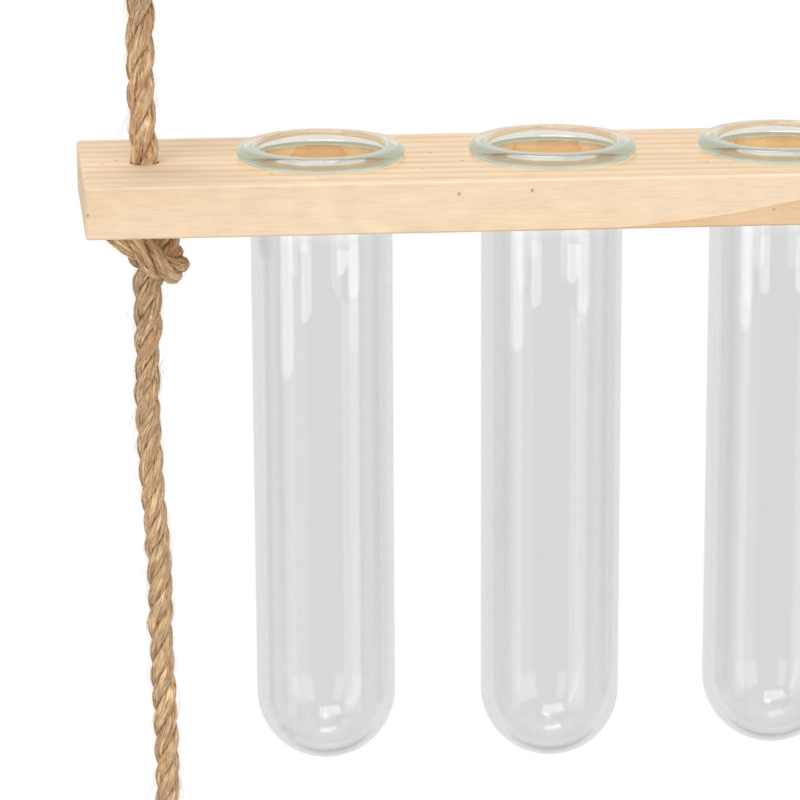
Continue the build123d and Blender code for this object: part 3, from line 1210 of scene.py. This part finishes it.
class VASE_OT_bindings(bpy.types.Operator):
    """Wind the twine that binds each loop"""

    bl_idname = "vase.bindings"
    bl_label = "Bindings"

    def execute(self, context):
        settings = context.scene.vase_rope
        strands = 2
        yarns = 3
        twine_lay = 9 * MM
        yarn_lay = 8 * MM
        relief = 0.15 * MM
        fibre_count = settings.nap // 4
        colours = (settings.light, settings.middle, settings.dark)
        twine = material_named("Jute twine", jute_material, *colours, relief)
        line = read_line(binding_route(), settings.ring_step)
        length = line_length(line)
        thickness = [(0, twine_thickness), (length, twine_thickness)]
        lay = [(0, twine_lay), (length, twine_lay)]
        for hand, side in sides.items():
            places = place_on_side(side)
            winding, rings = lay_strands(
                f"{hand}_binding", line, strands, thickness, lay, yarn_lay, yarns, 5 + side, places
            )
            hairs = grow_hairs(
                f"{hand}_binding_fibres", rings, fibre_count, settings.nap_length, settings.nap_width,
                lift=0.1, joints=4, seed=41 + side, places=places,
            )
            for piece in (winding, hairs):
                piece.data.materials.append(twine)
                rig.slot(piece, "twine")
                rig.ride(piece, "hanger")
            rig.replaces(winding, f"{hand}_loop_wrap")
        return {"FINISHED"}


class VASE_OT_bar(bpy.types.Operator):
    """Give the bar its wood"""

    bl_idname = "vase.bar"
    bl_label = "Bar"

    def execute(self, context):
        settings = context.scene.vase_bar
        colours = (settings.early, settings.late, settings.warm, settings.speck)
        bar = frame["nodes"]["bar"]
        bar.data.materials.clear()
        bar.data.materials.append(material_named("Pine", pine_material, *colours))
        return {"FINISHED"}


class VASE_OT_tubes(bpy.types.Operator):
    """Turn the test tubes in glass"""

    bl_idname = "vase.tubes"
    bl_label = "Tubes"

    def execute(self, context):
        settings = context.scene.vase_tube
        tints = (settings.shaded_tint, settings.clear_tint, settings.rim_tint)
        glass = material_named("Drawn glass", glass_material, *tints, settings.draw_wave)
        for node in tubes:
            low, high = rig.box(node)
            piece = turn_tube(f"{node}_glass", low, high, settings.steps)
            piece.data.materials.append(glass)
            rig.slot(piece, "glass")
            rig.ride(piece, node)
            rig.replaces(piece, node)
        return {"FINISHED"}


class VASE_OT_stage(bpy.types.Operator):
    """Set up the floor, the lights and the camera"""

    bl_idname = "vase.stage"
    bl_label = "Stage"

    def execute(self, context):
        settings = context.scene.vase_stage
        make_world(settings.ambient)
        make_floor(settings.floor_height)
        make_lamps()
        make_camera(settings)
        context.scene.view_settings.view_transform = "Standard"
        return {"FINISHED"}


class VASE_PT_panel(bpy.types.Panel):
    """Sizes and colours of the vase, and the steps that make it"""

    bl_idname = "VASE_PT_panel"
    bl_label = "Test tube vase"
    bl_space_type = "VIEW_3D"
    bl_region_type = "UI"
    bl_category = "Vase"

    def draw(self, context):
        for operator, group in (
            ("vase.ropes", context.scene.vase_rope),
            ("vase.bindings", None),
            ("vase.bar", context.scene.vase_bar),
            ("vase.tubes", context.scene.vase_tube),
            ("vase.stage", context.scene.vase_stage),
        ):
            box = self.layout.box()
            box.operator(operator)
            for name in group.bl_rna.properties.keys() if group else ():
                if name not in ("rna_type", "name"):
                    box.prop(group, name)


settings_groups = {
    "vase_rope": VaseRopeSettings,
    "vase_bar": VaseBarSettings,
    "vase_tube": VaseTubeSettings,
    "vase_stage": VaseStageSettings,
}
operators = (VASE_OT_ropes, VASE_OT_bindings, VASE_OT_bar, VASE_OT_tubes, VASE_OT_stage)


def register():
    for name, group in settings_groups.items():
        bpy.utils.register_class(group)
        setattr(bpy.types.Scene, name, bpy.props.PointerProperty(type=group))
    for kind in (*operators, VASE_PT_panel):
        bpy.utils.register_class(kind)


def unregister():
    for kind in (VASE_PT_panel, *operators):
        bpy.utils.unregister_class(kind)
    for name, group in settings_groups.items():
        delattr(bpy.types.Scene, name)
        bpy.utils.unregister_class(group)


def main():
    register()
    bpy.ops.vase.ropes()
    bpy.ops.vase.bindings()
    bpy.ops.vase.bar()
    bpy.ops.vase.tubes()
    bpy.ops.vase.stage()
    visual_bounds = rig.bounds()
    sizes = {
        "cad": [list(corner) for corner in cad_bounds],
        "visual": [list(corner) for corner in visual_bounds],
    }
    with open("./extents.json", "w") as file:
        json.dump(sizes, file)


if __name__ == "__main__":
    main()
